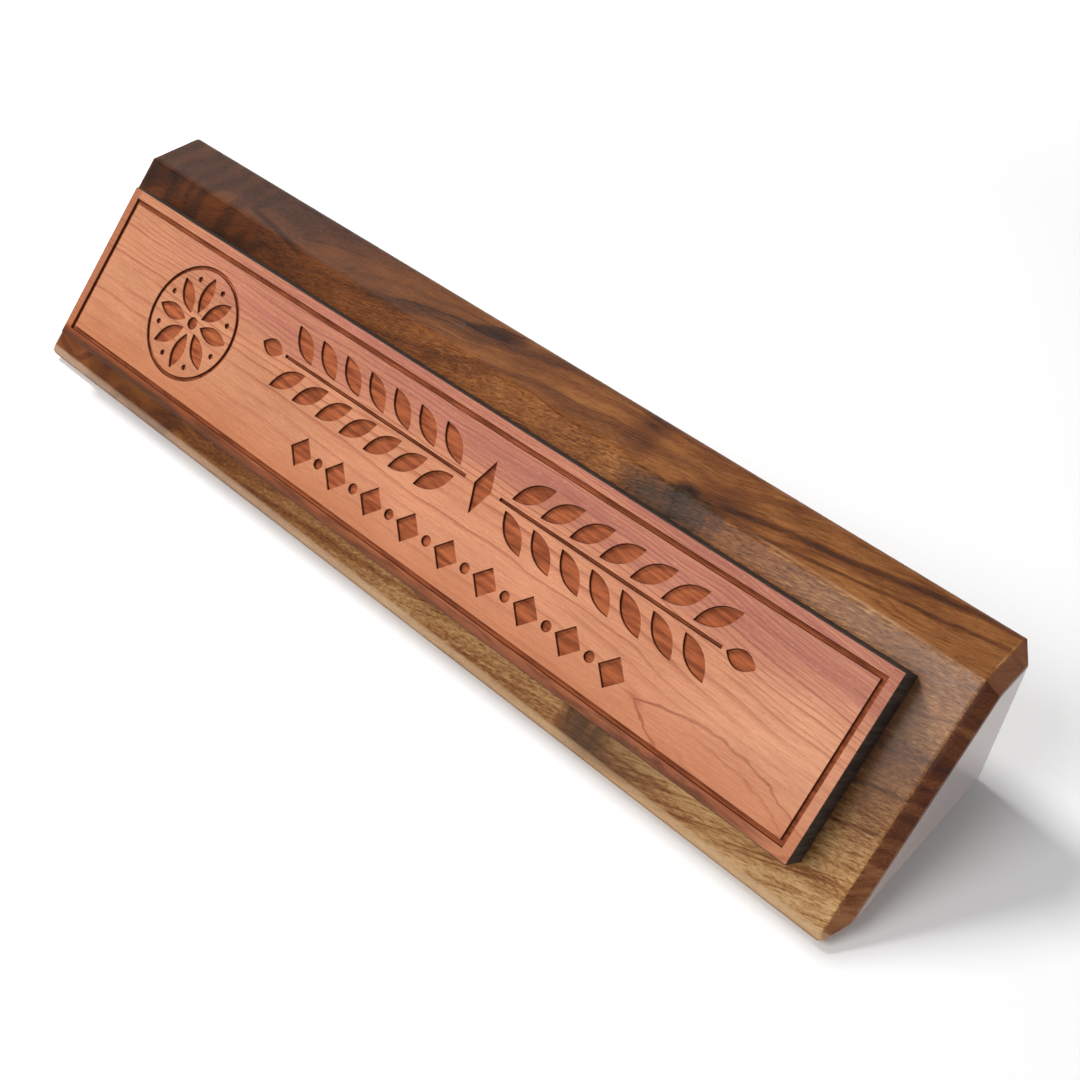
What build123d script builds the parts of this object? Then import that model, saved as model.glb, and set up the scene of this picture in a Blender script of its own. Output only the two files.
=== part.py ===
from build123d import *

import os
from math import cos, radians, sin

# Desk name plate: a solid wooden wedge with a thick engraved plate stuck on its sloping front.
# Millimetres, +Z up, +X to the right of a reader in front, who looks along +Y.
# The origin is the middle of the whole outline at the level of the table.

# Wedge, cut from one length of timber
block_length = 254.0
slope_angle = 45.0  # degrees between the sloping front and the table
face_width = 56.2  # up the sloping front, from the toe to the brow
top_depth = 15.1  # flat top, from the brow to the back
toe_angle = 75.0  # degrees between the blunted front edge and the table
toe_width = 2.7  # across the blunted front edge
end_chamfer = 3.3  # round all the edges of both ends
brow_round = 0.5
toe_round = 0.8
crown_round = 1.5  # back edge of the flat top
heel_round = 1.0  # back edge of the base

# Plate, cut and engraved by laser
plate_length = 227.0
plate_height = 41.6
plate_thickness = 9.5
brow_margin = 6.9  # bare wood on the slope between the brow and the plate
plate_turn = 0.5  # degrees, as it was stuck on by hand
border_inset = 2.2  # from the plate's edge to the border line
border_width = 1.25
border_depth = 0.8

# Double-sided sheet between the plate and the slope
sheet_thickness = 0.2
sheet_inset = 0.5  # it stops short of the plate's edges

# Stick-on rubber bumpers
foot_diameter = 8.0
foot_height = 1.6
foot_round = 0.6
foot_end_inset = 18.0  # from the end of the block to the bumper's middle
foot_toe_inset = 11.0
foot_back_inset = 9.0

# What follows from the sizes above
slope = radians(slope_angle)
toe = radians(toe_angle)
slope_run = face_width * cos(slope)
slope_rise = face_width * sin(slope)
toe_run = toe_width * cos(toe)
toe_rise = toe_width * sin(toe)
half_length = block_length / 2
brow_height = foot_height + toe_rise + slope_rise

# The plate's low corner or the toe reaches furthest forward of the brow, and the outline is centred on Y
turn = radians(plate_turn)
plate_drop = brow_margin + plate_height / 2
low_corner_drop = plate_drop + plate_height / 2 * cos(turn) + plate_length / 2 * abs(sin(turn))
plate_reach = low_corner_drop * cos(slope) + (sheet_thickness + plate_thickness) * sin(slope)
front_reach = max(plate_reach, slope_run + toe_run)
brow_y = (front_reach - top_depth) / 2
back_y = brow_y + top_depth
toe_y = brow_y - slope_run - toe_run

# Corners of the wedge seen from its right end
brow = (brow_y, brow_height)
crown = (back_y, brow_height)
heel = (back_y, foot_height)
toe_foot = (toe_y, foot_height)
toe_line = (brow_y - slope_run, foot_height + toe_rise)

# Outer faces of the wedge, each with its normal outward
top_face = Plane(origin=(0, *crown), z_dir=(0, 0, 1))
back_face = Plane(origin=(0, *heel), z_dir=(0, 1, 0))
base_face = Plane(origin=(0, *heel), z_dir=(0, 0, -1))
slope_face = Plane(origin=(0, *brow), x_dir=(1, 0, 0), z_dir=(0, -sin(slope), cos(slope)))

# Where the plate lies: its middle on the slope, turned as it was stuck on
plate_seat = Plane(
    origin=slope_face.from_local_coords(Vector(0, -plate_drop, 0)),
    x_dir=slope_face.x_dir * cos(turn) + slope_face.y_dir * sin(turn),
    z_dir=slope_face.z_dir,
)

os.makedirs("parts", exist_ok=True)

# Wedge: one profile along the whole length, its long edges eased
with BuildPart() as wedge:
    with BuildSketch(Plane.YZ) as profile:
        with BuildLine():
            Polyline(brow, crown, heel, toe_foot, toe_line, close=True)
        make_face()
        for corner, radius in (
            (brow, brow_round),
            (crown, crown_round),
            (heel, heel_round),
            (toe_foot, toe_round),
        ):
            fillet(profile.vertices().sort_by_distance(corner)[0], radius)
    extrude(amount=half_length, both=True)
    # Both ends: a flat cut at 45 degrees along each long face
    for side in (Vector(1, 0, 0), Vector(-1, 0, 0)):
        for face in (slope_face, top_face, back_face, base_face):
            chamfer_line = face.origin + side * (half_length - end_chamfer)
            split(bisect_by=Plane(origin=chamfer_line, z_dir=face.z_dir + side), keep=Keep.BOTTOM)
wedge.part.label = "wedge_base"
export_step(wedge.part, "parts/wedge_base.step")

# Sheet of adhesive on the slope
with BuildPart() as sheet:
    with BuildSketch(plate_seat):
        Rectangle(plate_length - 2 * sheet_inset, plate_height - 2 * sheet_inset)
    extrude(amount=sheet_thickness)
sheet.part.label = "adhesive_sheet"
export_step(sheet.part, "parts/adhesive_sheet.step")

# Plate with a border line sunk into its front
plate_back = plate_seat.offset(sheet_thickness)
with BuildPart() as plate:
    with BuildSketch(plate_back):
        Rectangle(plate_length, plate_height)
    extrude(amount=plate_thickness)
    with BuildSketch(plate_back.offset(plate_thickness)):
        Rectangle(plate_length - 2 * border_inset, plate_height - 2 * border_inset)
        panel_inset = border_inset + border_width
        Rectangle(plate_length - 2 * panel_inset, plate_height - 2 * panel_inset, mode=Mode.SUBTRACT)
    extrude(amount=-border_depth, mode=Mode.SUBTRACT)
plate.part.label = "face_plate"
export_step(plate.part, "parts/face_plate.step")

# Four bumpers under the corners of the base, their soles rounded at the rim
foot_x = half_length - foot_end_inset
feet = {
    "foot_front_left": (-foot_x, toe_y + foot_toe_inset),
    "foot_front_right": (foot_x, toe_y + foot_toe_inset),
    "foot_rear_left": (-foot_x, back_y - foot_back_inset),
    "foot_rear_right": (foot_x, back_y - foot_back_inset),
}
for name, (x, y) in feet.items():
    with BuildPart() as foot:
        with BuildSketch(Plane(origin=(x, y, 0))):
            Circle(foot_diameter / 2)
        extrude(amount=foot_height)
        fillet(foot.edges().sort_by(Axis.Z)[0], foot_round)
    foot.part.label = name
    export_step(foot.part, f"parts/{name}.step")
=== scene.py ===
import math
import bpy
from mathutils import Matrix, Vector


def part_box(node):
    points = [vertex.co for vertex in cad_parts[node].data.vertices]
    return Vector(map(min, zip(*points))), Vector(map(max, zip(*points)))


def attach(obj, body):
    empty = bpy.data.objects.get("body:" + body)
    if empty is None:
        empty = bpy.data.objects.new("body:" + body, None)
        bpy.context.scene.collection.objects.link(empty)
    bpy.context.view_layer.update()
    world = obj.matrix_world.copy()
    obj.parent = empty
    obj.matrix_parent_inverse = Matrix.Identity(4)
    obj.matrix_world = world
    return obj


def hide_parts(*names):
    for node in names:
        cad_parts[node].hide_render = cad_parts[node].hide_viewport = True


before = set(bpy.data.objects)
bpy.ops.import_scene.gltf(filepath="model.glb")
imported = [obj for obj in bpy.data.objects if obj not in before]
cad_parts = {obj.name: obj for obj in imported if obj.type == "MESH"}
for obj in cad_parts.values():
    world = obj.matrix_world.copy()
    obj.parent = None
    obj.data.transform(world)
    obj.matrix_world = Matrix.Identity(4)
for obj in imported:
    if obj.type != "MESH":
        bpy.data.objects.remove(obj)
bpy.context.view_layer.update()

from types import SimpleNamespace

import bmesh
import bpy
from mathutils import Matrix, Vector

MM = 0.001  # a millimetre in metres
PER_METRE = 1000.0  # millimetres in a metre, for patterns drawn in millimetres

# Wedge: sizes that repeat the solid's own
slope_angle = math.radians(45.0)
face_width = 56.2 * MM
top_depth = 15.1 * MM
end_chamfer = 3.3 * MM

# How far the wedge's edges are eased, each by its own amount
crown_ease = 1.5 * MM
heel_ease = 1.0 * MM
toe_ease = 0.8 * MM
brow_ease = 0.5 * MM
arris_ease = 0.4 * MM
ease_steps = 4
arris_steps = 2
arris_angle = math.radians(25.0)  # edges sharper than this are eased

# Plate: sizes that repeat the solid's own
plate_length = 227.0 * MM
plate_height = 41.6 * MM
plate_thickness = 9.5 * MM
plate_turn = math.radians(0.5)
border_inset = 2.2 * MM
border_width = 1.25 * MM
border_depth = 0.8 * MM

# Engraving on the plate, in the plate's own frame
engraving_depth = 0.7 * MM
plate_edge_ease = 0.15 * MM
plate_edge_steps = 2
cutter_rise = 0.05 * MM  # cutters start this far in front of the plate
wall_slant = 0.26 * MM  # how much narrower a cut is at its floor, on each side
round_steps = 32  # sides of a round or leaf-shaped cutter
bead_steps = 24
seed_steps = 16
groove_steps = 72

# Rosette at the left
rosette_middle = Vector((-75.5, 0.0)) * MM
rosette_radius = 14.4 * MM
rosette_ring_width = 1.1 * MM
petal_count = 8
petal_start = 2.7 * MM
petal_length = 9.6 * MM
petal_half_width = 2.0 * MM
seed_place = 10.9 * MM
seed_radius = 0.75 * MM
eye_radius = 1.6 * MM

# Long leaf spray
spray_middle = Vector((18.0, 6.1)) * MM
spray_half_length = 71.5 * MM
leaf_pairs = 7
leaf_pitch = 8.0 * MM
leaf_first = 7.5 * MM
leaf_length = 10.6 * MM
leaf_half_width = 2.1 * MM
leaf_tilt = math.radians(38.0)
leaf_gap = 0.9 * MM
stem_width = 0.9 * MM
spray_lozenge = Vector((5.0, 13.0)) * MM

# Row of lozenges and beads under the spray
row_middle = Vector((18.2, -10.3)) * MM
lozenge_count = 9
row_pitch = 11.6 * MM
lozenge_size = Vector((7.0, 7.4)) * MM
bead_radius = 1.3 * MM

# Places read from the frame
wedge_low, wedge_high = (Vector(corner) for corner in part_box("wedge_base"))
plate_low, plate_high = (Vector(corner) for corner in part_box("face_plate"))
half_length = wedge_high.x
along = Vector((1.0, 0.0, 0.0))
back = Vector((0.0, 1.0, 0.0))
up = Vector((0.0, 0.0, 1.0))
slope_up = Vector((0.0, math.cos(slope_angle), math.sin(slope_angle)))
slope_normal = Vector((0.0, -math.sin(slope_angle), math.cos(slope_angle)))
brow = Vector((0.0, wedge_high.y - top_depth, wedge_high.z))
crown = Vector((0.0, wedge_high.y, wedge_high.z))
heel = Vector((0.0, wedge_high.y, wedge_low.z))
toe_foot = Vector((0.0, wedge_low.y, wedge_low.z))
toe_line = brow - slope_up * face_width

# The plate's frame: its origin in the middle of the front, its third axis out of the front
plate_along = along * math.cos(plate_turn) + slope_up * math.sin(plate_turn)
plate_up = slope_normal.cross(plate_along)
plate_front = (plate_low + plate_high) / 2 + slope_normal * plate_thickness / 2
plate_frame = Matrix((plate_along, plate_up, slope_normal)).transposed().to_4x4()
plate_frame.translation = plate_front

# White table: distance from the middle and height of its profile, in metres
floor_profile = ((0.0, 0.0), (1.6, 0.0), (2.0, 0.05), (2.3, 0.2), (2.5, 0.55), (2.55, 1.1))
floor_steps = 96
floor_grey = 0.93

# Glow of the table: near the part, near it as wax mirrors it, and far off, with the metres where far begins
near_glow = 0.10
mirrored_glow = 0.38
far_glow = 0.8
far_start = 0.22  # glow starts to change here
far_end = 0.60  # and is the far one from here on

# Lamps: place and width in metres, power in watts
room_light = 0.18  # strength of the white room
front_place = Vector((-0.17, -0.61, 0.71))
front_width = 0.5
front_power = 4.2
high_place = Vector((-0.46, 0.0, 0.78))
high_width = 0.26
high_power = 6.2

# Camera, set to the photograph's view
camera_place = brow + Vector((169.0, -177.8, 198.0)) * MM
camera_aim = brow + along * 31.03 * MM - slope_up * 25.16 * MM
camera_roll = math.radians(2.94)
camera_lens = 47.24  # millimetres, on a sensor 36 mm wide
camera_sensor = 36.0
camera_nearest = 0.01  # metres

# Branch knot in the walnut, in millimetres: x, then how far behind the brow or below it, and half-sizes
branch_x = 52.5
branch_lean = 0.15
knot_eye_middle = Vector((54.2, 0.8))
knot_eye_size = Vector((4.4, 2.7))
halo_middle = Vector((61.0, 2.2))
halo_size = Vector((11.0, 4.0))
stain_middle = Vector((49.5, 4.5))
stain_size = Vector((13.0, 8.0))
toe_shade_x = 68.0

# Marks in the top: small knot, two lines to the right end, a hooked line and a darker figure
pin_middle = Vector((-10.5, 10.0))
pin_size = Vector((8.5, 2.4, 7.0))
pin_slant = 0.3
near_line_x = 72.0
far_line_x = 66.0
hook_x = -88.0
hook_turn = Vector((-87.0, 3.6))
figure_x = 37.0

# Marks on the slope: golden patches, a dark line low down, and thin lines right of the plate
left_patch_x = -91.0
right_patch_x = -66.0
low_line_x = -45.0
low_line_drop = 55.0
vein_pitch = 8.0
vein_climb = 0.26
vein_offset = 1.8

# Growth rings in the walnut: y and z of their middle, and how far the grain slants for each millimetre of x
pith = Vector((-66.0, -44.0))
grain_backward = 0.17
grain_climb = 0.05

# Arch in the grain of the cherry, in millimetres from the middle of the plate; its point is to the left
arch_point = Vector((71.6, -11.9))
arch_half_length = 23.0
arch_rise = 5.8
arch_fall = 7.7
arch_slant = 0.12

# Smoke on the cherry: a blot on the lower border, and the rims beyond the border line
blot_x = 83.0
rim_inner = plate_length * PER_METRE / 2 - 3.3
rim_outer = plate_length * PER_METRE / 2 - 1.9


def colour(red, green, blue):
    """A display colour of 0 to 255 per channel as the linear colour that a socket takes."""
    def linear(level):
        level = level / 255
        return level / 12.92 if level <= 0.04045 else ((level + 0.055) / 1.055) ** 2.4
    return (linear(red), linear(green), linear(blue), 1.0)


def grey(level):
    """A linear grey as the colour that a socket takes."""
    return (level, level, level, 1.0)


class Tone:
    """One socket of a finish: an expression on tones adds its Math nodes."""

    def __init__(self, finish, socket):
        self.finish = finish
        self.socket = socket

    def math(self, operation, first, second=0.0):
        return self.finish.node("Math", {"operation": operation}, {0: first, 1: second})

    def __add__(self, other):
        return self.math("ADD", self, other)

    def __radd__(self, other):
        return self.math("ADD", other, self)

    def __sub__(self, other):
        return self.math("SUBTRACT", self, other)

    def __rsub__(self, other):
        return self.math("SUBTRACT", other, self)

    def __mul__(self, other):
        return self.math("MULTIPLY", self, other)

    def __rmul__(self, other):
        return self.math("MULTIPLY", other, self)

    def __truediv__(self, other):
        return self.math("DIVIDE", self, other)

    def __neg__(self):
        return self.math("MULTIPLY", self, -1.0)

    def __abs__(self):
        return self.math("ABSOLUTE", self)

    def largest(self, other):
        return self.math("MAXIMUM", self, other)

    def root(self):
        return self.math("SQRT", self)

    def fraction(self):
        return self.math("FRACT", self)


class Finish:
    """A node tree that is filled through one method."""

    def __init__(self, owner):
        owner.use_nodes = True
        self.owner = owner
        self.tree = owner.node_tree
        self.tree.nodes.clear()

    def node(self, kind, settings, sockets, output=0):
        """A node of that type, its settings set first, then its sockets' values or links."""
        node = self.tree.nodes.new("ShaderNode" + kind)
        for name, value in settings.items():
            if name == "stops":
                self.set_stops(node.color_ramp, value)
            else:
                setattr(node, name, value)
        for name, value in sockets.items():
            if isinstance(value, Tone):
                self.tree.links.new(value.socket, node.inputs[name])
            else:
                node.inputs[name].default_value = value
        return Tone(self, node.outputs[output]) if node.outputs else None

    @staticmethod
    def set_stops(ramp, stops):
        while len(ramp.elements) < len(stops):
            ramp.elements.new(1.0)
        for element, (position, value) in zip(ramp.elements, stops):
            element.position = position
            element.color = value

    def place(self):
        """Object coordinates in millimetres."""
        here = self.node("TexCoord", {}, {}, "Object")
        return self.node("VectorMath", {"operation": "SCALE"}, {0: here, "Scale": PER_METRE})

    def axes(self, vector):
        return [self.node("SeparateXYZ", {}, {0: vector}, axis) for axis in range(3)]

    def vector(self, x, y, z):
        return self.node("CombineXYZ", {}, {0: x, 1: y, 2: z})

    def along_axis(self, vector, origin, axis):
        """Distance of a place from an origin along an axis, in millimetres."""
        offset = origin.dot(axis) * PER_METRE
        return self.node("VectorMath", {"operation": "DOT_PRODUCT"}, {0: vector, 1: axis}, "Value") - offset

    def noise(self, vector, scale=1.0, detail=2.0, roughness=0.5):
        return self.node(
            "TexNoise",
            {},
            {"Vector": vector, "Scale": scale, "Detail": detail, "Roughness": roughness},
        )

    def texture(self, x, y, z, detail=2.0, roughness=0.5):
        """Noise of three coordinates that are scaled already."""
        return self.noise(self.vector(x, y, z), detail=detail, roughness=roughness)

    def between(self, value, low, high):
        """0 below low and 1 above high, with a smooth change; low may be the larger one."""
        return self.node(
            "MapRange",
            {"interpolation_type": "SMOOTHSTEP"},
            {0: value, 1: low, 2: high, 3: 0.0, 4: 1.0},
        )

    def line(self, value, outer, inner):
        """1 where a value is within inner of 0, falling to 0 at outer."""
        return self.between(abs(value), outer, inner)

    def stretch(self, value, start, full, fade, end):
        """1 from full to fade, falling to 0 at start and at end."""
        return self.between(value, start, full) * self.between(value, end, fade)

    def contrast(self, noise, low, high):
        """Noise widened so that it runs from -0.5 at low to 0.5 at high."""
        return self.between(noise, low, high) - 0.5

    def blend(self, low, high, factor, mode="MIX"):
        settings = {"data_type": "RGBA", "blend_type": mode}
        return self.node("Mix", settings, {0: factor, 6: low, 7: high}, 2)

    def layers(self, base, tints):
        """A colour with tints laid over it in turn, each by its own amount."""
        for tint, amount in tints:
            base = self.blend(base, tint, amount)
        return base

    def ramp(self, factor, stops):
        return self.node("ValToRGB", {"stops": stops}, {0: factor})

    def surface(self, height, sockets):
        """Principled shader with a bump from a height in millimetres."""
        bump = self.node("Bump", {}, {"Height": height, "Strength": 1.0, "Distance": MM})
        shader = self.node("BsdfPrincipled", {}, {"Normal": bump, **sockets})
        self.node("OutputMaterial", {}, {"Surface": shader})
        return self.owner


def new_finish(name):
    return Finish(bpy.data.materials.new(name))


def distance(*steps):
    """Length of several steps at right angles to each other."""
    return sum(step * step for step in steps).root()


def oval(x, y, middle, half_size):
    """Distance from an oval's middle, 1 on its rim."""
    return distance((x - middle.x) / half_size.x, (y - middle.y) / half_size.y)


def block_places(finish):
    """Where a point of the wedge lies, in millimetres, masks of its faces, and slow noises."""
    place = finish.place()
    at = SimpleNamespace()
    at.x, at.y, at.z = finish.axes(place)
    at.below_brow = -finish.along_axis(place, brow, slope_up)
    at.inward = -finish.along_axis(place, brow, slope_normal)
    at.behind_brow = finish.along_axis(place, brow, back)
    at.under_top = -finish.along_axis(place, brow, up)

    nearer_top = finish.between(at.inward - at.under_top, -0.08, 0.08)
    at.on_slope = finish.between(at.inward, 1.0, 0.2) * (1.0 - nearer_top)
    at.on_top = finish.between(at.under_top, 1.0, 0.2) * nearer_top
    at.right_half = finish.between(at.x, -1.0, 1.0)
    at.low_slope = finish.between(at.below_brow - finish.between(at.x, 84.0, 108.0) * 4.0, 22.0, 52.0)
    at.bare_strip = at.on_slope * finish.between(at.x, 104.0, 114.0)

    # Both ends, cut across the fibres: the flat face and the chamfers round it
    chamfer = end_chamfer * PER_METRE
    end = half_length * PER_METRE
    at.from_end_edge = abs(at.x) - (end - chamfer)
    at.end_face = finish.between(abs(at.x), end - 0.35, end - 0.1)
    at.end_grain = finish.between(at.from_end_edge, -0.1, 0.3)
    # The top chamfer of the right end only, which is painted lighter as if lit
    at.top_chamfer = finish.between(at.under_top, chamfer + 0.3, chamfer - 0.1) * nearer_top
    at.top_chamfer = at.top_chamfer * at.end_grain * at.right_half
    at.slope_chamfer = finish.between(at.inward, chamfer + 0.3, chamfer - 0.1) * (1.0 - nearer_top)
    at.slope_chamfer = at.slope_chamfer * at.end_grain

    at.drift = finish.texture(at.x / 62.0, at.y / 30.0, at.z / 30.0) - 0.5
    at.wander = finish.texture(at.x / 16.0, at.y / 11.0, at.z / 11.0) - 0.5
    at.cloud = finish.texture(at.x / 11.0, at.y / 9.0, at.z / 9.0) - 0.5
    at.rightward = finish.between(at.x + at.drift * 60.0, -100.0, 50.0)
    return at


def branch_knot(finish, at):
    """A branch under the slope: its crack, smear and stain, and its eye and halo in the top."""
    from_branch = at.x - at.below_brow * branch_lean - branch_x
    near_slope = finish.between(at.inward, 9.0, 2.0) * finish.between(at.below_brow, -0.5, 0.1)
    crack = finish.line(from_branch + at.wander * 2.0, 0.75, 0.1) * finish.between(at.below_brow, 14.0, 5.0)

    smear_x = from_branch - 5.0 + finish.between(at.below_brow, 8.0, 45.0) * 3.5 + at.wander * 8.0
    smear = finish.stretch(smear_x, -8.0, -5.0, 1.0, 10.0)
    streak_x = (from_branch + 1.5) / (1.0 + finish.between(at.below_brow, 62.0, 44.0) * 0.8)
    streak = finish.texture(streak_x * 0.8, at.below_brow * 0.08, at.inward * 0.3)
    fade = 1.0 - finish.between(at.below_brow, 0.0, 8.0) * 0.40
    fade = fade + finish.between(at.below_brow, 30.0, 46.0) * 0.28
    fade = fade - finish.between(at.below_brow + at.wander * 8.0, 48.0, 57.0) * 0.50
    smear = smear * (0.35 + finish.between(streak, 0.30, 0.65) * 0.65) * fade

    eye = oval(at.x, at.behind_brow, knot_eye_middle, knot_eye_size)
    halo_slant = (at.x - halo_middle.x) * 0.10
    halo = oval(at.x, at.behind_brow - halo_slant, halo_middle, halo_size)
    stain = oval(at.x, at.below_brow, stain_middle, stain_size)
    return SimpleNamespace(
        crack=crack * near_slope,
        smear=smear * near_slope,
        eye=finish.between(eye + at.wander * 1.2, 1.2, 0.1),
        halo=finish.between(halo + at.wander * 0.5, 1.3, 0.2) * at.on_top,
        stain=finish.between(stain + at.wander * 1.6, 1.2, 0.1) * at.on_slope,
    )


def top_marks(finish, at):
    """Marks in the flat top: a small knot lying aslant, dark lines and a darker figure."""
    pin_x = at.x - pin_middle.x
    pin_back = at.behind_brow - pin_middle.y
    pin = distance(
        (pin_x + pin_back * pin_slant) / pin_size.x,
        (pin_back - pin_x * pin_slant) / pin_size.y,
        at.under_top / pin_size.z,
    )

    # Two lines leave the branch knot for the right end
    near_line = at.behind_brow - (at.x - near_line_x) * 0.18 + at.wander * 2.0
    far_line = at.behind_brow - (at.x - far_line_x) * 0.20 - 3.0 + at.wander * 2.6
    fan = finish.line(near_line, 0.9, 0.1) * 0.7 + finish.line(far_line, 1.6, 0.2) * 0.9
    fan = fan * finish.between(at.x, 58.0, 74.0)

    # Another comes in from the back at the left and turns to the right
    hook_down = finish.line(at.x - hook_x - at.behind_brow * 0.12 + at.wander * 5.0, 2.4, 0.4)
    hook_down = hook_down * finish.between(at.behind_brow, 2.5, 4.5)
    hook_along = at.behind_brow - hook_turn.y + (at.x - hook_turn.x) * 0.16 + at.wander * 2.0
    hook_along = finish.line(hook_along, 1.2, 0.2) * finish.stretch(at.x, -90.0, -87.0, -72.0, -62.0)
    lines = (fan + hook_down.largest(hook_along)) * finish.between(at.under_top, 6.0, 1.0)
    return SimpleNamespace(
        pin_knot=finish.between(pin + at.wander * 1.2, 1.2, 0.2),
        lines=lines,
        figure=finish.line(at.x - figure_x + at.wander * 6.0, 5.5, 0.5) * at.on_top,
    )


def slope_marks(finish, at):
    """Marks on the slope: golden patches at the left, a dark line, and streaks beyond the knot."""
    patch = finish.line(at.x - left_patch_x + at.wander * 8.0, 11.0, 3.0)
    patch = patch.largest(finish.line(at.x - right_patch_x + at.wander * 8.0, 10.0, 3.0))
    low_line = at.below_brow - low_line_drop + (at.x - low_line_x) * 0.06 + at.wander * 2.0
    low_line = finish.line(low_line, 1.1, 0.1) * finish.stretch(at.x, -56.0, -40.0, 10.0, 30.0)
    splay = finish.texture((at.below_brow + at.x * 0.32) * 1.7, at.x * 0.03, 3.0, detail=3.0, roughness=0.6)
    splay = finish.between(splay, 0.50, 0.64) * finish.between(at.x, 62.0, 72.0)
    shade = finish.between(at.x + at.wander * 10.0, 94.0, 66.0) * finish.between(at.x, 54.0, 60.0)
    curl = finish.texture(at.x * 0.9 + at.below_brow * 0.7, at.below_brow * 1.5, 6.0)
    curl = finish.contrast(curl, 0.30, 0.70) * finish.between(at.x, 60.0, 50.0)

    # Thin dark lines right of the plate, evenly apart, that climb towards the end
    vein = at.below_brow + at.x * vein_climb + vein_offset + at.wander * 3.0
    vein = finish.line((vein / vein_pitch).fraction() - 0.5, 0.08, 0.01)
    vein = vein * finish.between(at.cloud, -0.20, 0.05)
    return SimpleNamespace(
        patch=patch,
        low_line=low_line,
        splay=splay * at.on_slope,
        shade=shade * at.on_slope,
        curl=curl * at.on_slope,
        vein=vein * at.bare_strip,
    )


def walnut_grain(finish, at):
    """Growth rings that climb and run backwards to the right, with flecks and pores along them."""
    grain_y = at.y - at.x * grain_backward
    grain_z = at.z - at.x * grain_climb
    swirl = finish.texture(at.x / 15.0, at.y / 26.0, at.z / 26.0 + 7.0, detail=1.0) - 0.5
    swirl = swirl * finish.between(at.x, -55.0, -95.0)
    ring = distance(grain_y - pith.x, grain_z - pith.y)
    ring = ring + at.drift * 20.0 + at.wander * 2.0 + swirl * 30.0
    broad = finish.texture(ring * 0.15, at.x * 0.004, 0.0, roughness=0.55)
    narrow = finish.texture(ring * 0.62, at.x * 0.010, 4.0, roughness=0.6)
    thread = finish.texture(ring * 1.9, at.x * 0.025, 9.0)

    # The end faces are sealed, so that flecks and pores stop there
    sealed = 1.0 - at.end_face
    fleck = finish.texture(at.x * 0.24, grain_y * 2.5, grain_z * 2.5, detail=3.0, roughness=0.65)
    fleck = finish.contrast(fleck, 0.30, 0.70) * sealed * (1.0 - at.bare_strip * 0.15)
    pore = finish.texture(at.x * 0.70, grain_y * 4.5, grain_z * 4.5, detail=1.0)
    pore = finish.between(pore, 0.57, 0.70) * sealed
    dash = finish.texture(at.x * 0.42, grain_y * 2.1 + 8.0, grain_z * 2.1)
    dash = finish.contrast(dash, 0.36, 0.64) * (1.0 - at.bare_strip * 0.35)
    grit = finish.texture(at.x, grain_y * 2.6 + 3.0, grain_z * 2.6)
    return SimpleNamespace(
        narrow=narrow,
        dark_band=finish.between(broad, 0.45, 0.66),
        dark_line=finish.between(narrow, 0.54, 0.70),
        dark_thread=finish.between(thread, 0.56, 0.72),
        fleck=fleck,
        pore=pore,
        dash=dash * at.on_slope * finish.between(at.x, 56.0, 84.0),
        grit=finish.contrast(grit, 0.34, 0.66) * at.bare_strip,
    )


def worn_and_lit_edges(finish, at):
    """Handled edges, lighter partly from wear and partly as a painted highlight: the brow towards the right
    and the ends of the top.
    """
    brow_rub_and_highlight = finish.line(at.below_brow, 0.45, 0.1) * finish.between(at.inward, 0.5, 0.2)
    return SimpleNamespace(
        rub=finish.between(at.wander + at.cloud, -0.20, 0.25),
        brow_rub_and_highlight=brow_rub_and_highlight * finish.between(at.x, 60.0, 85.0),
        brow_band_rub_and_highlight=at.on_slope * finish.between(at.below_brow, 2.6, 0.4) * finish.between(at.x, 82.0, 106.0),
        brow_round=finish.line(at.below_brow, 1.0, 0.4) * finish.between(at.inward, 1.0, 0.4),
        end_rub_and_highlight=finish.line(at.from_end_edge, 0.4, 0.1) * finish.between(at.under_top, 0.6, 0.2),
    )


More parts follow.
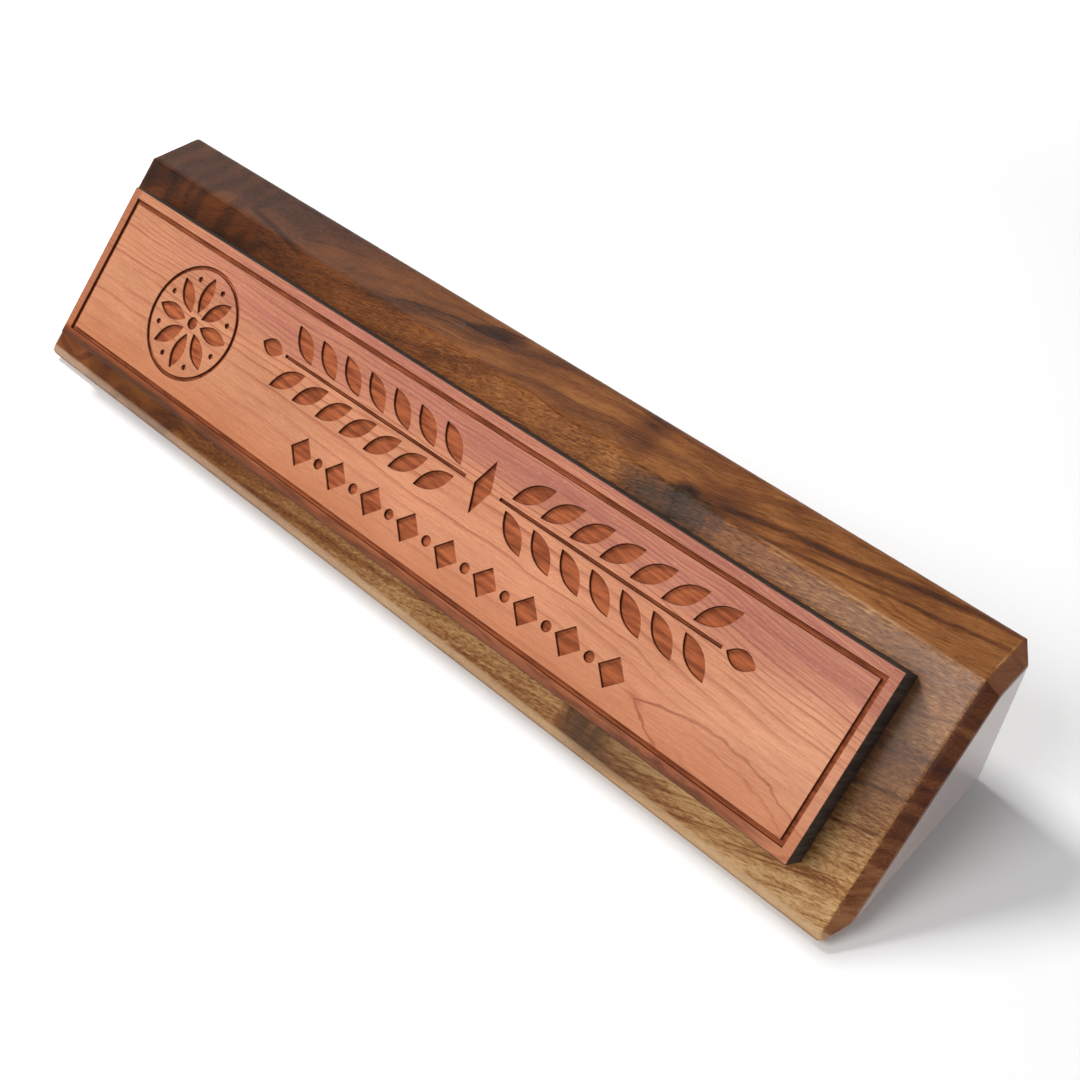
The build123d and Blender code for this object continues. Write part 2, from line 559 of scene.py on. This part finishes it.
def walnut_light(finish, at, grain, knot, top, slope, lit_worn_edges):
    """How light the wood is: dark at the left end, golden towards the right and down the slope."""
    high_slope = at.on_slope * finish.between(at.below_brow, 40.0, 15.0)
    light = 0.37 + at.rightward * (0.32 - at.on_top * 0.03) + at.low_slope * 0.25
    light = light + at.low_slope * (finish.between(at.x, 40.0, 80.0) * 0.16 + slope.patch * 0.10)
    light = light + high_slope * finish.stretch(at.x, -85.0, -50.0, 40.0, 60.0) * 0.035
    light = light + at.low_slope * finish.stretch(at.x, -90.0, -60.0, -25.0, 0.0) * 0.035
    light = light + slope.curl * finish.between(at.x, -105.0, -60.0) * (0.12 + at.low_slope * 0.06)
    light = light + at.cloud * (0.30 - at.low_slope * 0.08)
    smoky = finish.texture(at.x / 5.0 + at.wander * 1.5, at.y / 30.0, at.z / 30.0, detail=1.0)
    smoky = finish.between(smoky, 0.42, 0.64) * finish.between(at.x, -68.0, -100.0)
    light = light - smoky * (0.12 + at.on_top * 0.10) * (1.0 - at.low_slope * 0.6)

    # Rings, flecks and pores; the rings are quiet on the upper left of the slope
    quiet = at.on_slope * finish.between(at.x, 30.0, -30.0) * finish.between(at.below_brow, 40.0, 10.0)
    rings = grain.dark_line * 0.14 + grain.dark_thread * (0.08 + at.rightward * 0.08)
    light = light - grain.dark_band * 0.20 - rings * (1.0 - quiet * 0.6)
    coarse = at.rightward * (0.06 + at.on_slope * 0.10)
    light = light + grain.fleck * (0.10 + coarse - at.low_slope * 0.06)
    light = light - grain.pore * (0.04 + coarse - at.low_slope * 0.04)
    light = light + grain.dash * (0.17 - at.low_slope * 0.07) + grain.grit * 0.16

    # Marks, each with how much it darkens
    marks = (
        (knot.crack, 0.32),
        (knot.smear, 0.46),
        (knot.eye, 0.46),
        (knot.halo, 0.30),
        (knot.stain, 0.36),
        (top.pin_knot, 0.34),
        (top.lines, 0.32),
        (top.figure, 0.12),
        (slope.vein, 0.28),
        (slope.low_line * at.low_slope, 0.20),
        (slope.splay * at.low_slope, 0.24),
        (slope.shade * at.low_slope, 0.16),
    )
    for mark, depth in marks:
        light = light - mark * depth

    # Right end of the slope: darker under the brow, painted light beside the plate against the plate's cast
    # shadow, and lighter below the plate
    under_brow = finish.between(at.below_brow, 10.0, 4.0) * finish.between(at.x, 98.0, 110.0)
    right_end = finish.between(at.x, 111.0, 117.0) * 0.06 - under_brow * 0.12
    right_end = right_end + at.low_slope * finish.between(at.x, 80.0, 95.0) * 0.05
    light = light + right_end * at.on_slope

    # Bands stand out more where the ends are cut across the fibres, and the top chamfer of the right end is
    # painted lighter, as if lit
    chamfer_band = finish.texture(at.below_brow * 0.34 + at.wander * 0.5, at.x * 0.1, 2.0, detail=1.0)
    chamfer_band = finish.between(chamfer_band, 0.60, 0.42) - 0.45
    light = light + (grain.narrow - 0.5) * at.end_grain * 0.9 + at.top_chamfer * 0.06
    light = light + (chamfer_band * 0.20 + 0.045) * at.slope_chamfer
    # Rubbed edges are lighter, partly from wear and partly as a painted highlight
    return light + (lit_worn_edges.brow_rub_and_highlight * 0.08 + lit_worn_edges.end_rub_and_highlight * 0.40) * lit_worn_edges.rub + lit_worn_edges.brow_band_rub_and_highlight * 0.13


def walnut_colour(finish, at, light, grain, knot, slope, lit_worn_edges):
    """Brown tones from dark to golden, tinted place by place."""
    wood = finish.ramp(light * 0.84, (
        (0.00, colour(28, 18, 13)),
        (0.21, colour(70, 40, 24)),
        (0.42, colour(116, 67, 33)),
        (0.63, colour(157, 102, 56)),
        (0.84, colour(203, 157, 103)),
        (1.00, colour(226, 186, 134)),
    ))
    warm = finish.between(at.below_brow, 40.0, 15.0) * finish.between(at.x, 112.0, 95.0) * 0.45
    warm = at.on_slope * warm.largest(finish.between(at.x, -25.0, -95.0))
    wood = finish.blend(wood, colour(231, 208, 169), warm, "MULTIPLY")
    golden = finish.between(at.below_brow, 30.0, 52.0) * finish.between(at.x, -20.0, 90.0)
    wood = finish.blend(wood, colour(255, 249, 243), golden, "MULTIPLY")

    # Painted sheen: a grey veil laid over the upper right of the slope
    painted_sheen = at.on_slope * finish.between(at.x, 70.0, 118.0) * finish.between(at.below_brow, 42.0, 14.0)
    scuff = finish.texture(at.x * 0.5, at.y * 2.6, at.z * 2.6 + 3.0, detail=1.0)
    scuff = finish.between(scuff, 0.50, 0.75) * finish.between(at.x, 106.0, 121.0)
    scuff = scuff * at.on_slope * finish.between(at.below_brow, 13.0, 3.0)
    # The pale line along the brow is partly wear and partly a painted highlight
    wood = finish.layers(wood, (
        (colour(82, 62, 44), knot.smear.largest(knot.stain * 0.7) * 0.7),
        (colour(106, 84, 62), slope.shade * at.low_slope * 0.35),
        (colour(160, 134, 114), painted_sheen * 0.24),
        (colour(158, 114, 84), at.bare_strip * finish.between(at.below_brow, 46.0, 34.0) * 0.12),
        (colour(196, 164, 140), lit_worn_edges.brow_rub_and_highlight * (0.1 + lit_worn_edges.rub * 0.2)),
        (colour(206, 190, 176), scuff * 0.22),
        (colour(100, 62, 43), at.on_top * finish.between(at.x, 0.0, -100.0) * 0.36),
    ))

    # Ends cut across the fibres drink more oil and stay darker and redder; the top chamfer of the right end
    # is spared this and painted a lighter orange, as if lit
    wood = finish.blend(wood, colour(188, 160, 151), at.end_grain - at.top_chamfer * 0.66, "MULTIPLY")
    wood = finish.blend(wood, colour(152, 87, 48), at.top_chamfer * 0.5)

    # Blunted toe, paler from a painted reflection of the white table, but less so below the knot
    toe_start = face_width * PER_METRE
    below_knot = finish.line(at.x - toe_shade_x, 12.0, 3.0)
    toe_painted_reflection = finish.between(at.below_brow, toe_start - 0.9, toe_start - 0.2)
    toe_painted_reflection = toe_painted_reflection * finish.between(at.inward, 6.0, 3.0)
    toe_painted_reflection = toe_painted_reflection * (0.50 + at.rightward * 0.24 - grain.dark_band * 0.12 - below_knot * 0.24)
    toe_reflection_tone = finish.blend(colour(206, 173, 144), colour(212, 175, 134), at.rightward)
    return finish.blend(wood, toe_reflection_tone, toe_painted_reflection)


def walnut_finish():
    """Oiled walnut with a branch knot, wax on its ends and a thin coat of it on the upper right slope."""
    finish = new_finish("oiled_walnut")
    at = block_places(finish)
    grain = walnut_grain(finish, at)
    knot = branch_knot(finish, at)
    top = top_marks(finish, at)
    slope = slope_marks(finish, at)
    lit_worn_edges = worn_and_lit_edges(finish, at)
    light = walnut_light(finish, at, grain, knot, top, slope, lit_worn_edges)
    wood = walnut_colour(finish, at, light, grain, knot, slope, lit_worn_edges)

    end_wax = at.end_face * (0.35 + at.right_half * 0.15)
    slope_wax = at.on_slope * finish.between(at.x, 20.0, 100.0) * finish.between(at.below_brow, 44.0, 12.0)
    slope_wax = slope_wax * (1.0 - lit_worn_edges.brow_round) * 0.13
    roughness = 0.34 + grain.pore * 0.15 + grain.fleck * 0.10
    return finish.surface(grain.fleck * 0.05 - grain.pore * 0.05, {
        "Base Color": wood,
        "Roughness": roughness - at.end_face * 0.08 + lit_worn_edges.brow_round * 0.4,
        "Specular IOR Level": 0.12,
        "Coat Weight": end_wax.largest(slope_wax),
        "Coat Roughness": 0.2,
        "Coat IOR": 1.6,
    })


def plate_places(finish):
    """Where a point of the plate lies, in millimetres from the middle of its front, and slow noises."""
    place = finish.place()
    axes = (plate_along, plate_up, slope_normal)
    at = SimpleNamespace()
    at.x, at.y, at.z = (finish.along_axis(place, plate_front, axis) for axis in axes)
    at.drift = finish.texture(at.x / 55.0, at.y / 22.0, at.z / 22.0) - 0.5
    at.wander = finish.texture(at.x / 14.0, at.y / 6.0, at.z / 6.0) - 0.5
    return at


def cherry_grain(finish, at):
    """Lines along the board, closer together at the top, and a ragged arch at the lower right."""
    ripple = finish.texture(at.x / 4.0, at.y / 2.5, 3.0) - 0.5
    from_point = at.x - arch_point.x + ripple * 2.5
    along_arch = from_point / arch_half_length - 1.0
    across_arch = at.y - arch_point.y + from_point * arch_slant + at.wander * 1.6 + ripple * 1.6
    arch = along_arch * along_arch + (across_arch / arch_rise).largest(across_arch / -arch_fall)
    outer = finish.line(arch - 1.0, 0.08, 0.01) * (0.65 + finish.between(at.x, 88.0, 72.0) * 0.35)
    inner = finish.line(arch - 0.5, 0.08, 0.01) * finish.between(at.x, 80.0, 90.0) * 0.4
    point = (from_point * from_point * 0.15 + across_arch * across_arch).root()
    point = finish.between(point, 1.5, 0.3) * 0.6

    # Rings sink towards the right end, and fade below the middle and inside the arch
    level = at.y + at.drift * 5.0 + at.wander * 0.9 + finish.between(at.x, 50.0, 125.0) * 6.0
    raised = level.largest(0.0)
    ring = level * 0.31 + raised * raised * 0.024
    uneven = finish.texture(ring * 0.5, at.x / 200.0, 1.0, detail=1.0)
    ring_step = (ring + uneven * 1.5).fraction()
    strength = finish.texture(ring * 0.8, at.x / 45.0, 5.0, detail=1.0)
    strength = finish.between(strength, 0.22, 0.62) * (0.35 + finish.between(at.y, -14.0, 2.0) * 0.65)
    strength = strength * (1.0 - finish.between(at.x, 45.0, 85.0) * finish.between(at.y, 9.0, 3.0) * 0.3)
    late_wood = finish.stretch(ring_step, 0.58, 0.96, 0.97, 1.0) * strength
    return SimpleNamespace(
        level=level,
        late_wood=late_wood * finish.between(arch, 1.0, 1.4),
        arch_line=outer.largest(inner).largest(point),
        inside_arch=finish.between(arch, 1.0, 0.9),
        fibre=finish.texture(at.x * 0.14, at.y * 2.4, at.z * 2.4, detail=3.0, roughness=0.65),
    )


def cherry_colour(finish, at, grain):
    """Salmon wood with darker rings, pinker along the top."""
    rightward = finish.between(at.x + at.drift * 60.0, -70.0, 30.0)
    stripe = finish.texture(at.x / 80.0, grain.level * 0.9, 2.0, detail=1.0)
    pink = finish.between(at.y + at.drift * 12.0, 4.0, 13.0) * finish.between(at.x, -112.0, -50.0)
    wood = finish.blend(colour(202, 140, 104), colour(216, 148, 112), rightward)
    wood = finish.layers(wood, (
        (colour(228, 165, 129), finish.between(at.x, 70.0, 105.0) * 0.8),
        (colour(206, 140, 108), finish.between(at.x, rim_inner, rim_outer) * 0.5),
        (colour(168, 93, 68), grain.late_wood * 0.80),
        (colour(212, 138, 106), grain.inside_arch * 0.35),
        (colour(152, 78, 57), grain.arch_line * 0.85),
        (colour(180, 112, 97), pink * (0.45 + finish.between(stripe, 0.3, 0.7) * 0.50)),
        (colour(150, 84, 70), grain.late_wood * pink * 0.5),
    ))
    cloud = finish.texture(at.x / 30.0, at.y / 8.0, at.z / 8.0)
    tint = finish.ramp(grain.fibre * 0.6 + cloud * 0.4, (
        (0.30, colour(214, 204, 198)),
        (0.68, colour(255, 255, 255)),
    ))
    wood = finish.blend(wood, tint, 1.0, "MULTIPLY")
    fleck = finish.texture(at.x * 0.5, at.y * 3.5, at.z * 3.5, detail=1.0)
    glint = finish.texture(at.x * 0.8, at.y * 2.4, at.z * 2.4 + 4.0, detail=1.0)
    return finish.layers(wood, (
        (colour(168, 96, 66), finish.between(fleck, 0.58, 0.72) * 0.30),
        (colour(246, 190, 156), finish.between(glint, 0.56, 0.76) * 0.14),
    ))


def add_smoke(finish, at, wood):
    """Smoke along the left edge and the lower border, blackest at the lower edge and at the left."""
    leftward = finish.between(at.x, 40.0, -110.0)
    smudge = finish.texture(at.x / 10.0, at.y / 1.3, at.z / 4.0)
    haze = finish.between(at.y + at.drift * 4.0, -6.0, -18.5) * 0.42
    smoke = finish.between(at.y + at.wander * 1.2, -17.4, -19.0) * finish.between(at.x, 115.0, 98.0)
    soot = finish.between(at.y - smudge * 2.4, -19.6, -21.6) * finish.between(at.x, 112.0, 90.0)
    corner_soot = finish.between(at.x, -78.0, -106.0) * finish.between(at.y + at.wander * 1.5, -18.6, -20.2)
    blot = finish.texture(at.x / 3.2, at.y / 1.6, at.z / 4.0 + 5.0)
    blot = finish.between(blot, 0.46, 0.62) * finish.line(at.x - blot_x, 15.0, 8.0)
    return finish.layers(wood, (
        (colour(150, 84, 54), finish.between(at.x, -rim_inner, -rim_outer) * 0.58),
        (colour(172, 98, 56), haze),
        (colour(118, 50, 16), smoke * (0.62 + leftward * 0.22)),
        (colour(84, 40, 22), smoke * finish.between(smudge, 0.45, 0.65) * 0.45),
        (colour(62, 40, 26), (soot * (0.42 + leftward * 0.34)).largest(corner_soot * 0.62)),
        (colour(84, 52, 36), blot * finish.between(at.y, -18.4, -19.6) * 0.55),
    ))


def cherry_finish():
    """Lasered cherry: brown scorched cuts with darker walls, partly char and partly painted shade, and
    charred sides.
    """
    finish = new_finish("lasered_cherry")
    at = plate_places(finish)
    grain = cherry_grain(finish, at)
    wood = add_smoke(finish, at, cherry_colour(finish, at, grain))

    # Cuts: scorched floors, and walls darker, partly from char and partly as painted shade
    sunk = finish.between(at.z, -0.05, -0.2)
    cut_floor = finish.between(at.z, -0.5, -0.66)
    burn = finish.texture(at.x / 9.0, at.y / 1.2, at.z, detail=3.0, roughness=0.6)
    scorched_with_wall_shade = finish.blend(colour(122, 58, 31), colour(178, 97, 58), finish.between(burn, 0.30, 0.70))
    scorched_with_wall_shade = finish.blend(scorched_with_wall_shade, colour(108, 54, 31), grain.late_wood * 0.5)
    scorched_with_wall_shade = finish.blend(colour(74, 38, 23), scorched_with_wall_shade, cut_floor)

    half_x = plate_length * PER_METRE / 2
    half_y = plate_height * PER_METRE / 2
    end_side = finish.between(abs(at.x), half_x - 0.25, half_x - 0.05)
    long_side = finish.between(abs(at.y), half_y - 0.25, half_y - 0.05)
    striation = finish.texture(at.x * 1.2, at.y * 1.2, at.z * 0.08)
    char = finish.blend(colour(42, 35, 31), colour(70, 58, 51), finish.between(striation, 0.35, 0.7))
    wood = finish.layers(wood, (
        (scorched_with_wall_shade, sunk),
        (char, end_side.largest(long_side)),
    ))
    return finish.surface(grain.fibre * 0.03 - grain.late_wood * 0.01 + sunk * burn * 0.05, {
        "Base Color": wood,
        "Roughness": 0.46 + grain.fibre * 0.08 + sunk * 0.2,
        "Specular IOR Level": 0.14,
    })


def adhesive_finish():
    """Thin brown film, slightly mottled."""
    finish = new_finish("adhesive_film")
    place = finish.place()
    mottle = finish.noise(place, scale=0.8, detail=2.0)
    tone = finish.blend(colour(58, 44, 34), colour(92, 72, 54), mottle)
    return finish.surface(mottle * 0.02, {"Base Color": tone, "Roughness": 0.4 + mottle * 0.2})


def rubber_finish():
    """Dark moulded rubber with a fine matt skin."""
    finish = new_finish("bumper_rubber")
    place = finish.place()
    skin = finish.noise(place, scale=6.0, detail=2.0)
    dust = finish.noise(place, scale=0.6, detail=3.0)
    tone = finish.blend(colour(30, 29, 28), colour(64, 62, 60), finish.between(dust, 0.4, 0.75))
    return finish.surface(skin * 0.03, {"Base Color": tone, "Roughness": 0.6 + skin * 0.2})


def new_piece(name, bm, finish, node):
    """An object made of a finished mesh, standing for a node of the frame."""
    mesh = bpy.data.meshes.new(name)
    bm.to_mesh(mesh)
    bm.free()
    mesh.materials.append(finish)
    piece = bpy.data.objects.new(name, mesh)
    bpy.context.scene.collection.objects.link(piece)
    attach(piece, "root")
    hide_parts(node)
    return piece


def verts_of(geometry):
    return [item for item in geometry if isinstance(item, bmesh.types.BMVert)]


def make_wedge(finish):
    """One length of timber to the wedge's profile, both ends chamfered, every edge eased."""
    bm = bmesh.new()
    profile = (brow, crown, heel, toe_foot, toe_line)
    end = bm.faces.new([bm.verts.new(corner - along * half_length) for corner in profile])
    eases = (brow_ease, crown_ease, heel_ease, toe_ease)
    for vert, ease in zip(end.verts[:], eases):
        bmesh.ops.bevel(
            bm, geom=[vert], offset=ease, affect="VERTICES",
            segments=ease_steps, profile=0.5, material=-1,
        )
    end = bm.faces[:][0]
    swept = bmesh.ops.extrude_face_region(bm, geom=[end])
    bmesh.ops.translate(bm, verts=verts_of(swept["geom"]), vec=along * half_length * 2)
    bmesh.ops.recalc_face_normals(bm, faces=bm.faces)

    long_faces = (
        (brow, slope_normal),
        (crown, up),
        (heel, back),
        (heel, -up),
    )
    for side in (along, -along):
        for corner, normal in long_faces:
            everything = bm.verts[:] + bm.edges[:] + bm.faces[:]
            cut = bmesh.ops.bisect_plane(
                bm,
                geom=everything,
                plane_co=corner + side * (half_length - end_chamfer),
                plane_no=normal + side,
                clear_outer=True,
            )
            rim = [item for item in cut["geom_cut"] if isinstance(item, bmesh.types.BMEdge)]
            bmesh.ops.contextual_create(bm, geom=rim)
    bmesh.ops.recalc_face_normals(bm, faces=bm.faces)

    # Ease the sharp edges round both ends
    sharp = [edge for edge in bm.edges if edge.calc_face_angle(0.0) > arris_angle]
    bmesh.ops.bevel(
        bm, geom=sharp, offset=arris_ease, affect="EDGES",
        segments=arris_steps, profile=0.5, material=-1, clamp_overlap=False,
    )
    return new_piece("walnut_wedge", bm, finish, "wedge_base")


def sink(bm, outline, size, middle, direction=0.0):
    """Makes a flat outline round the origin a cutter with slanting walls, and puts it in its place."""
    faces = list({face for vert in outline for face in vert.link_faces})
    floor = verts_of(bmesh.ops.extrude_face_region(bm, geom=faces)["geom"])
    narrowing = (1.0 - 2 * wall_slant / size.x, 1.0 - 2 * wall_slant / size.y, 1.0)
    bmesh.ops.scale(bm, verts=floor, vec=narrowing)
    bmesh.ops.translate(bm, verts=floor, vec=(0.0, 0.0, -engraving_depth - cutter_rise))
    cutter = outline + floor
    turn = Matrix.Rotation(direction, 3, "Z")
    bmesh.ops.rotate(bm, verts=cutter, cent=(0.0, 0.0, 0.0), matrix=turn)
    bmesh.ops.translate(bm, verts=cutter, vec=(middle.x, middle.y, cutter_rise))


def disc_cutter(bm, middle, radius, segments=round_steps):
    ring = bmesh.ops.create_circle(bm, cap_ends=True, segments=segments, radius=radius)
    sink(bm, ring["verts"], Vector((2 * radius, 2 * radius)), middle)


def leaf_cutter(bm, root, direction, length, half_width):
    """A pointed leaf that starts at a root and lies along a direction."""
    ring = bmesh.ops.create_circle(bm, cap_ends=True, segments=round_steps, radius=1.0)
    for vert in ring["verts"]:
        vert.co.y *= abs(vert.co.y)
    bmesh.ops.scale(bm, verts=ring["verts"], vec=(length / 2, half_width, 1.0))
    middle = root + Vector((math.cos(direction), math.sin(direction))) * length / 2
    sink(bm, ring["verts"], Vector((length, 2 * half_width)), middle, direction)


def lozenge_cutter(bm, middle, size):
    ring = bmesh.ops.create_circle(bm, cap_ends=True, segments=4, radius=0.5)
    bmesh.ops.scale(bm, verts=ring["verts"], vec=(size.x, size.y, 1.0))
    sink(bm, ring["verts"], size, middle)


def bar_cutter(bm, middle, length, width):
    sheet = bmesh.ops.create_grid(bm, x_segments=1, y_segments=1, size=0.5)
    bmesh.ops.scale(bm, verts=sheet["verts"], vec=(length, width, 1.0))
    sink(bm, sheet["verts"], Vector((length, width)), middle)


def ring_cutter(bm, middle, radius, width):
    """A round groove: its section is turned about the middle."""
    section = (
        (radius, cutter_rise),
        (radius - wall_slant, -engraving_depth),
        (radius - width + wall_slant, -engraving_depth),
        (radius - width, cutter_rise),
    )
    corners = [bm.verts.new((middle.x + reach, middle.y, height)) for reach, height in section]
    sides = [bm.edges.new(pair) for pair in zip(corners, corners[1:] + corners[:1])]
    bmesh.ops.spin(
        bm, geom=corners + sides, axis=(0.0, 0.0, 1.0), cent=(middle.x, middle.y, 0.0),
        angle=math.tau, steps=groove_steps, use_merge=True,
    )


def border_cutter(bm):
    """A square groove round the plate: its section is carried round the four mitred corners."""
    section = (
        (border_inset, cutter_rise),
        (border_inset + wall_slant, -border_depth),
        (border_inset + border_width - wall_slant, -border_depth),
        (border_inset + border_width, cutter_rise),
    )
    corners = ((1, 1), (-1, 1), (-1, -1), (1, -1))
    loops = [
        [
            bm.verts.new((side_x * (plate_length / 2 - inset), side_y * (plate_height / 2 - inset), height))
            for side_x, side_y in corners
        ]
        for inset, height in section
    ]
    for loop, next_loop in zip(loops, loops[1:] + loops[:1]):
        for first in range(len(corners)):
            second = (first + 1) % len(corners)
            bm.faces.new((loop[first], loop[second], next_loop[second], next_loop[first]))


def cut_rosette(bm):
    ring_cutter(bm, rosette_middle, rosette_radius, rosette_ring_width)
    disc_cutter(bm, rosette_middle, eye_radius)
    for petal in range(petal_count):
        direction = math.tau * petal / petal_count
        ray = Vector((math.cos(direction), math.sin(direction)))
        leaf_cutter(bm, rosette_middle + ray * petal_start, direction, petal_length, petal_half_width)
        between = direction + math.pi / petal_count
        seed = Vector((math.cos(between), math.sin(between))) * seed_place
        disc_cutter(bm, rosette_middle + seed, seed_radius, seed_steps)


def cut_spray(bm):
    lozenge_cutter(bm, spray_middle, spray_lozenge)
    stem_end = leaf_first + leaf_pitch * leaf_pairs
    for side in (1, -1):
        heading = 0.0 if side > 0 else math.pi
        for pair in range(leaf_pairs):
            root_x = spray_middle.x + side * (leaf_first + leaf_pitch * pair)
            for flank in (1, -1):
                root = Vector((root_x, spray_middle.y + flank * (stem_width / 2 + leaf_gap)))
                leaf_cutter(bm, root, heading + side * flank * leaf_tilt, leaf_length, leaf_half_width)
        tip = Vector((spray_middle.x + side * (stem_end + leaf_gap), spray_middle.y))
        tip_length = spray_half_length - stem_end - leaf_gap
        leaf_cutter(bm, tip, heading, tip_length, leaf_half_width)
        stem_start = leaf_first - spray_lozenge.x / 2
        stem_length = stem_end - stem_start
        stem_middle = spray_middle + Vector((side * (stem_start + stem_end) / 2, 0.0))
        bar_cutter(bm, stem_middle, stem_length, stem_width)


def cut_row(bm):
    for index in range(lozenge_count):
        offset = (index - (lozenge_count - 1) / 2) * row_pitch
        lozenge_cutter(bm, row_middle + Vector((offset, 0.0)), lozenge_size)
        if index < lozenge_count - 1:
            disc_cutter(bm, row_middle + Vector((offset + row_pitch / 2, 0.0)), bead_radius, bead_steps)


def loose_object(name, bm):
    mesh = bpy.data.meshes.new(name)
    bmesh.ops.recalc_face_normals(bm, faces=bm.faces)
    bm.to_mesh(mesh)
    bm.free()
    thing = bpy.data.objects.new(name, mesh)
    bpy.context.scene.collection.objects.link(thing)
    return thing


def make_plate(finish):
    """A thick plate with a border line and an ornament cut into its front."""
    body = bmesh.new()
    cube = bmesh.ops.create_cube(body, size=1.0)
    bmesh.ops.scale(body, verts=cube["verts"], vec=(plate_length, plate_height, plate_thickness))
    bmesh.ops.translate(body, verts=cube["verts"], vec=(0.0, 0.0, -plate_thickness / 2))
    bmesh.ops.bevel(
        body, geom=body.edges[:], offset=plate_edge_ease, affect="EDGES",
        segments=plate_edge_steps, profile=0.5, material=-1,
    )
    blank = loose_object("plate_blank", body)

    cuts = bmesh.new()
    border_cutter(cuts)
    cut_rosette(cuts)
    cut_spray(cuts)
    cut_row(cuts)
    cutter = loose_object("plate_cutter", cuts)

    carving = blank.modifiers.new("carving", "BOOLEAN")
    carving.operation = "DIFFERENCE"
    carving.solver = "EXACT"
    carving.object = cutter
    carved = blank.evaluated_get(bpy.context.evaluated_depsgraph_get())
    bm = bmesh.new()
    bm.from_mesh(carved.to_mesh())
    carved.to_mesh_clear()
    bpy.data.objects.remove(cutter)
    bpy.data.objects.remove(blank)
    bmesh.ops.transform(bm, matrix=plate_frame, verts=bm.verts)
    return new_piece("engraved_plate", bm, finish, "face_plate")


def dress_node(node, finish):
    """Gives a solid that is shown as it is its finish."""
    piece = bpy.data.objects[node]
    piece.data.materials.clear()
    piece.data.materials.append(finish)


def make_floor():
    """A white table that rises into a low rim, so that no view looks past its edge."""
    bm = bmesh.new()
    points = [bm.verts.new((reach, 0.0, rise)) for reach, rise in floor_profile]
    edges = [bm.edges.new(pair) for pair in zip(points, points[1:])]
    bmesh.ops.spin(
        bm, geom=points + edges, axis=(0.0, 0.0, 1.0), cent=(0.0, 0.0, 0.0),
        angle=math.tau, steps=floor_steps, use_merge=True,
    )
    bmesh.ops.remove_doubles(bm, verts=bm.verts, dist=MM)
    mesh = bpy.data.meshes.new("floor")
    bm.to_mesh(mesh)
    bm.free()
    floor = bpy.data.objects.new("floor", mesh)
    bpy.context.scene.collection.objects.link(floor)

    finish = new_finish("white_floor")
    place = finish.place()
    x, y = finish.axes(place)[:2]
    far = finish.between(distance(x, y) / PER_METRE, far_start, far_end)
    camera_ray = finish.node("LightPath", {}, {}, "Is Camera Ray")
    glossy_ray = finish.node("LightPath", {}, {}, "Is Glossy Ray")
    clear_ray = finish.node("LightPath", {}, {}, "Is Transmission Ray")
    glow = finish.blend(grey(near_glow), grey(mirrored_glow), glossy_ray)
    glow = finish.blend(glow, grey(far_glow), far)
    glow = finish.blend(grey(0.0), glow, camera_ray.largest(glossy_ray).largest(clear_ray))
    grain = finish.noise(place, scale=0.02, detail=2.0)
    mesh.materials.append(finish.surface(grain * 0.01, {
        "Base Color": grey(floor_grey),
        "Roughness": 0.9,
        "Specular IOR Level": 0.0,
        "Emission Color": glow,
        "Emission Strength": 1.0,
    }))


def make_light(name, place, aim, size, power):
    lamp = bpy.data.lights.new(name, "AREA")
    lamp.shape = "DISK"
    lamp.size = size
    lamp.energy = power
    holder = bpy.data.objects.new(name, lamp)
    holder.location = place
    holder.rotation_euler = (aim - place).to_track_quat("-Z", "Y").to_euler()
    bpy.context.scene.collection.objects.link(holder)


def make_studio():
    """White room light with a soft lamp before the plate and another at the left."""
    world = bpy.data.worlds.new("white_room")
    bpy.context.scene.world = world
    finish = Finish(world)
    background = finish.node("Background", {}, {"Color": grey(1.0), "Strength": room_light})
    finish.node("OutputWorld", {}, {"Surface": background})
    middle = Vector((0.0, 0.0, wedge_high.z / 2))
    make_light("front_softbox", front_place, middle, front_width, front_power)
    make_light("high_softbox", high_place, middle, high_width, high_power)


def make_camera():
    camera = bpy.data.cameras.new("camera")
    camera.lens = camera_lens
    camera.sensor_width = camera_sensor
    camera.clip_start = camera_nearest
    holder = bpy.data.objects.new("camera", camera)
    forward = (camera_aim - camera_place).normalized()
    level = forward.cross(up).normalized()
    right = level * math.cos(camera_roll) + level.cross(forward) * math.sin(camera_roll)
    holder.matrix_world = Matrix((right, right.cross(forward), -forward)).transposed().to_4x4()
    holder.location = camera_place
    bpy.context.scene.collection.objects.link(holder)
    bpy.context.scene.camera = holder


make_wedge(walnut_finish())
make_plate(cherry_finish())
dress_node("adhesive_sheet", adhesive_finish())
rubber = rubber_finish()
for foot in ("foot_front_left", "foot_front_right", "foot_rear_left", "foot_rear_right"):
    dress_node(foot, rubber)
make_floor()
make_studio()
make_camera()
bpy.context.scene.view_settings.view_transform = "Standard"
